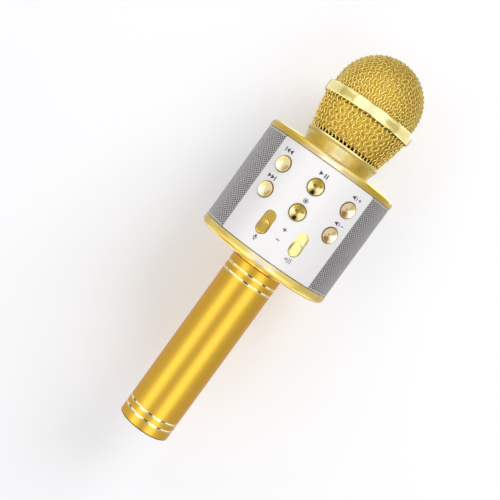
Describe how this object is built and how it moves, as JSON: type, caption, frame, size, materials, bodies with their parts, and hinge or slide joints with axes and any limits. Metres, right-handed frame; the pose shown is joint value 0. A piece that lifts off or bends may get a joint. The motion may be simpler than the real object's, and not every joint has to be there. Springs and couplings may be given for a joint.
{
  "type": "karaoke microphone",
  "caption": "Handheld wireless karaoke microphone: gold tube handle, round speaker drum with buttons and slide controls, and a domed woven-wire head.",
  "frame": {"origin": "centre of the flat end face of the handle", "axes": "+Z along the microphone's axis towards its head, -Y out of the control panel, +X to the right seen from the control side"},
  "size_m": [0.0816, 0.0826, 0.25],
  "materials": {
    "anodised_gold": "satin anodised orange gold",
    "bright_gold": "glossy pale gold metallised lacquer",
    "gold_mesh": "gold-plated woven wire",
    "pearl_panel": "pale silver pearl lacquer, semi-gloss",
    "grille_grey": "satin perforated sheet",
    "button_gold": "spun bright gold faces",
    "black_plastic": "moulded black",
    "steel": "bright zinc",
    "nickel": "nickel-plated",
    "brass": "plated contact",
    "cell_wrap": "shrink sleeve",
    "board_green": "solder mask",
    "cone_black": "coated paper",
    "rubber": "moulded rubber",
    "foam": "open-cell foam"
  },
  "bodies": {
    "root": {"handle_socket": "bright_gold", "socket_screw_1": "steel", "socket_screw_2": "steel", "contact_carrier": "black_plastic", "positive_contact": "brass", "bottom_cap": "bright_gold", "top_cap": "bright_gold", "body_frame": "black_plastic", "front_panel": "pearl_panel", "rear_panel": "pearl_panel", "side_grille_left": "grille_grey", "side_grille_right": "grille_grey", "button_board_centre": "board_green", "button_board_left": "board_green", "button_board_right": "board_green", "slide_pot_mic": "steel", "slide_pot_echo": "steel", "main_board": "board_green", "usb_port": "nickel", "charging_port": "nickel", "headphone_jack": "black_plastic", "power_switch_body": "steel", "speaker_basket_left": "black_plastic", "speaker_basket_right": "black_plastic", "speaker_magnet_left": "steel", "speaker_magnet_right": "steel", "neck_collar": "bright_gold", "capsule_stem": "black_plastic", "capsule_holder": "rubber", "mic_capsule": "nickel", "mic_lead": "black_plastic", "tact_switch_previous": "black_plastic", "tact_switch_next": "black_plastic", "tact_switch_play": "black_plastic", "tact_switch_record": "black_plastic", "tact_switch_volume_up": "black_plastic", "tact_switch_volume_down": "black_plastic"},
    "battery": {"battery_cell": "cell_wrap"},
    "handle": {"handle_tube": "anodised_gold", "handle_end_plug": "black_plastic", "battery_sleeve": "black_plastic", "battery_spring": "steel", "thread_insert": "nickel"},
    "head_seat": {"head_seal": "rubber"},
    "head": {"grille_base_ring": "bright_gold", "grille_lower_mesh": "gold_mesh", "grille_band": "bright_gold", "grille_dome_mesh": "gold_mesh", "foam_liner": "foam"},
    "button_previous": {"button_previous": "button_gold"},
    "button_next": {"button_next": "button_gold"},
    "button_play": {"button_play": "button_gold"},
    "button_record": {"button_record": "button_gold"},
    "button_volume_up": {"button_volume_up": "button_gold"},
    "button_volume_down": {"button_volume_down": "button_gold"},
    "slider_mic": {"slider_knob_mic": "button_gold"},
    "slider_echo": {"slider_knob_echo": "button_gold"},
    "power_switch": {"power_switch_knob": "black_plastic"},
    "speaker_cone_left": {"speaker_cone_left": "cone_black"},
    "speaker_cone_right": {"speaker_cone_right": "cone_black"}
  },
  "joints": [
    {"name": "handle_unscrew", "type": "slide", "parent": "root", "child": "battery", "axis": [0, 0, -1], "range_m": [0, 0.008]},
    {"name": "handle_turn", "type": "hinge", "parent": "battery", "child": "handle", "pos_m": [0, 0, 0.05], "axis": [0, 0, -1], "range_deg": [0, 1442]},
    {"name": "head_unscrew", "type": "slide", "parent": "root", "child": "head_seat", "axis": [0, 0, 1], "range_m": [0, 0.006]},
    {"name": "head_turn", "type": "hinge", "parent": "head_seat", "child": "head", "pos_m": [0, 0, 0.2], "axis": [0, 0, 1], "range_deg": [0, 1082]},
    {"name": "previous_press", "type": "slide", "parent": "root", "child": "button_previous", "axis": [0.515, 0.8572, 0], "range_m": [0, 0.0007], "stiffness_N_per_m": 800},
    {"name": "next_press", "type": "slide", "parent": "root", "child": "button_next", "axis": [0.515, 0.8572, 0], "range_m": [0, 0.0007], "stiffness_N_per_m": 800},
    {"name": "play_press", "type": "slide", "parent": "root", "child": "button_play", "axis": [0, 1, 0], "range_m": [0, 0.0007], "stiffness_N_per_m": 800},
    {"name": "record_press", "type": "slide", "parent": "root", "child": "button_record", "axis": [0, 1, 0], "range_m": [0, 0.0007], "stiffness_N_per_m": 800},
    {"name": "volume_up_press", "type": "slide", "parent": "root", "child": "button_volume_up", "axis": [-0.515, 0.8572, 0], "range_m": [0, 0.0007], "stiffness_N_per_m": 800},
    {"name": "volume_down_press", "type": "slide", "parent": "root", "child": "button_volume_down", "axis": [-0.515, 0.8572, 0], "range_m": [0, 0.0007], "stiffness_N_per_m": 800},
    {"name": "mic_volume_slide", "type": "slide", "parent": "root", "child": "slider_mic", "axis": [0, 0, 1], "range_m": [0, 0.0056]},
    {"name": "echo_slide", "type": "slide", "parent": "root", "child": "slider_echo", "axis": [0, 0, 1], "range_m": [0, 0.0056]},
    {"name": "power_slide", "type": "slide", "parent": "root", "child": "power_switch", "axis": [1, 0, 0], "range_m": [0, 0.0035]},
    {"name": "cone_left_stroke", "type": "slide", "parent": "root", "child": "speaker_cone_left", "axis": [-1, 0, 0], "range_m": [-0.0008, 0.0008], "stiffness_N_per_m": 2000},
    {"name": "cone_right_stroke", "type": "slide", "parent": "root", "child": "speaker_cone_right", "axis": [1, 0, 0], "range_m": [-0.0008, 0.0008], "stiffness_N_per_m": 2000}
  ],
  "couplings": [
    {"joint": "handle_turn", "follows": "handle_unscrew", "rad_per_m": 3141.6},
    {"joint": "head_turn", "follows": "head_unscrew", "rad_per_m": 3141.6}
  ]
}
